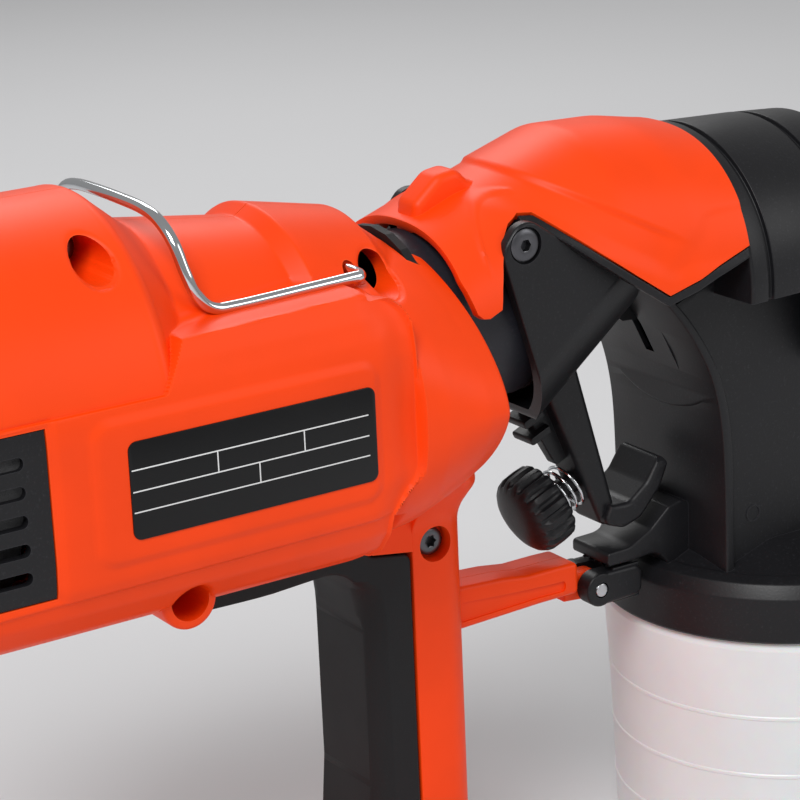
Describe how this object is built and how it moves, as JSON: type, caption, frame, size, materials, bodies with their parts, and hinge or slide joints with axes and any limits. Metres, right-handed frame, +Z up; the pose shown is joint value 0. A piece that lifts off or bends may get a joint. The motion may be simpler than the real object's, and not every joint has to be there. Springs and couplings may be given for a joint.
{
  "type": "handheld turbine paint sprayer",
  "caption": "Handheld electric turbine paint sprayer: motor unit with grip, clip-on spray gun with trigger and flow knob, hanging paint cup and folding wire hook.",
  "frame": {"origin": "centre of the cup's underside, on the surface the sprayer stands on", "axes": "+X out of the nozzle, +Y to the sprayer's left side, +Z up"},
  "size_m": [0.3409, 0.108, 0.2325],
  "materials": {
    "orange_plastic": "satin",
    "black_plastic": "fine grain",
    "slate_plastic": "fine grain",
    "black_rubber": "matt",
    "plate_black": "semi-gloss",
    "chrome_wire": "polished",
    "screw_steel": "blackened",
    "bright_steel": "bright",
    "copper_winding": "enamelled copper",
    "laminated_iron": "bare laminations",
    "filter_foam": "open foam",
    "cup_white": "translucent",
    "white_plastic": "satin",
    "brass": "plain"
  },
  "bodies": {
    "turbine_unit": {"housing_left": "orange_plastic", "housing_right": "orange_plastic", "grip_back": "black_rubber", "foot_pad": "black_rubber", "cord_gland": "black_rubber", "rating_plate": "plate_black", "housing_screw_rear_top": "screw_steel", "housing_screw_front_top": "screw_steel", "housing_screw_rear_low": "screw_steel", "housing_screw_handle": "screw_steel", "housing_screw_foot": "screw_steel", "power_switch": "black_plastic", "motor_stator": "laminated_iron", "field_coils": "copper_winding", "motor_mount_rear": "black_rubber", "motor_mount_front": "black_rubber", "motor_end_frame": "black_plastic", "brush_holder_right": "brass", "brush_holder_left": "brass", "bearing_front": "bright_steel", "bearing_rear": "bright_steel", "turbine_casing_front": "bright_steel", "turbine_casing_rear": "bright_steel", "coupling_seal": "black_rubber", "latch_pin": "bright_steel"},
    "rotor": {"motor_shaft": "bright_steel", "armature": "laminated_iron", "commutator": "copper_winding", "impeller": "bright_steel"},
    "intake_cover": {"filter_cover": "black_plastic", "air_filter": "filter_foam"},
    "switch": {"switch_rocker": "black_rubber"},
    "hanger": {"hanger_wire": "chrome_wire"},
    "latch": {"latch_lever": "black_plastic"},
    "gun": {"gun_body": "black_plastic", "gun_shell": "orange_plastic", "air_tube": "slate_plastic", "pivot_screw_right": "screw_steel", "pivot_screw_left": "screw_steel", "packing_nut": "brass", "needle_spring": "bright_steel", "fluid_nozzle": "bright_steel", "cup_gasket": "white_plastic", "pickup_tube": "white_plastic"},
    "trigger_lever": {"trigger": "black_plastic", "flow_spring": "chrome_wire"},
    "knob": {"flow_knob": "black_plastic"},
    "needle_rod": {"needle": "bright_steel"},
    "cap": {"air_cap": "black_plastic"},
    "nut": {"ring_nut": "black_plastic"},
    "paint_cup": {"cup": "cup_white"}
  },
  "joints": [
    {"name": "turbine_spin", "type": "hinge", "parent": "turbine_unit", "child": "rotor", "pos_m": [-0.2, 0, 0.181], "axis": [1, 0, 0], "continuous": true},
    {"name": "intake_cover_slide", "type": "slide", "parent": "turbine_unit", "child": "intake_cover", "axis": [-1, 0, 0], "range_m": [0, 0.03]},
    {"name": "switch_rock", "type": "hinge", "parent": "turbine_unit", "child": "switch", "pos_m": [-0.2815, 0, 0.21], "axis": [0, -1, 0], "range_deg": [0, 12]},
    {"name": "hanger_fold", "type": "hinge", "parent": "turbine_unit", "child": "hanger", "pos_m": [-0.161, 0, 0.2062], "axis": [0, 1, 0], "range_deg": [0, 100]},
    {"name": "latch_turn", "type": "hinge", "parent": "turbine_unit", "child": "latch", "pos_m": [-0.072, 0, 0.094], "axis": [0, 1, 0], "range_deg": [0, 90]},
    {"name": "gun_release", "type": "slide", "parent": "turbine_unit", "child": "gun", "axis": [1, 0, 0], "range_m": [0, 0.06]},
    {"name": "trigger_pull", "type": "hinge", "parent": "gun", "child": "trigger_lever", "pos_m": [-0.109, 0, 0.2035], "axis": [0, 1, 0], "range_deg": [0, 7], "stiffness_Nm_per_rad": 0.8, "springref_deg": -11.46},
    {"name": "needle_draw", "type": "slide", "parent": "gun", "child": "needle_rod", "axis": [-1, 0, 0], "range_m": [0, 0.0035], "deforming": ["needle_spring"]},
    {"name": "flow_knob_turn", "type": "hinge", "parent": "trigger_lever", "child": "knob", "pos_m": [-0.0928, 0, 0.1178], "axis": [0.9219, 0, 0.3875], "range_deg": [0, 720]},
    {"name": "ring_nut_turn", "type": "hinge", "parent": "gun", "child": "nut", "pos_m": [0.022, 0, 0.181], "axis": [1, 0, 0], "continuous": true},
    {"name": "air_cap_turn", "type": "hinge", "parent": "gun", "child": "cap", "pos_m": [0.03, 0, 0.181], "axis": [1, 0, 0], "range_deg": [0, 90]},
    {"name": "cup_off", "type": "slide", "parent": "gun", "child": "paint_cup", "axis": [0, 0, -1], "range_m": [0, 0.12]}
  ],
  "couplings": [
    {"joint": "needle_draw", "follows": "trigger_pull", "m_per_rad": 0.0262}
  ]
}
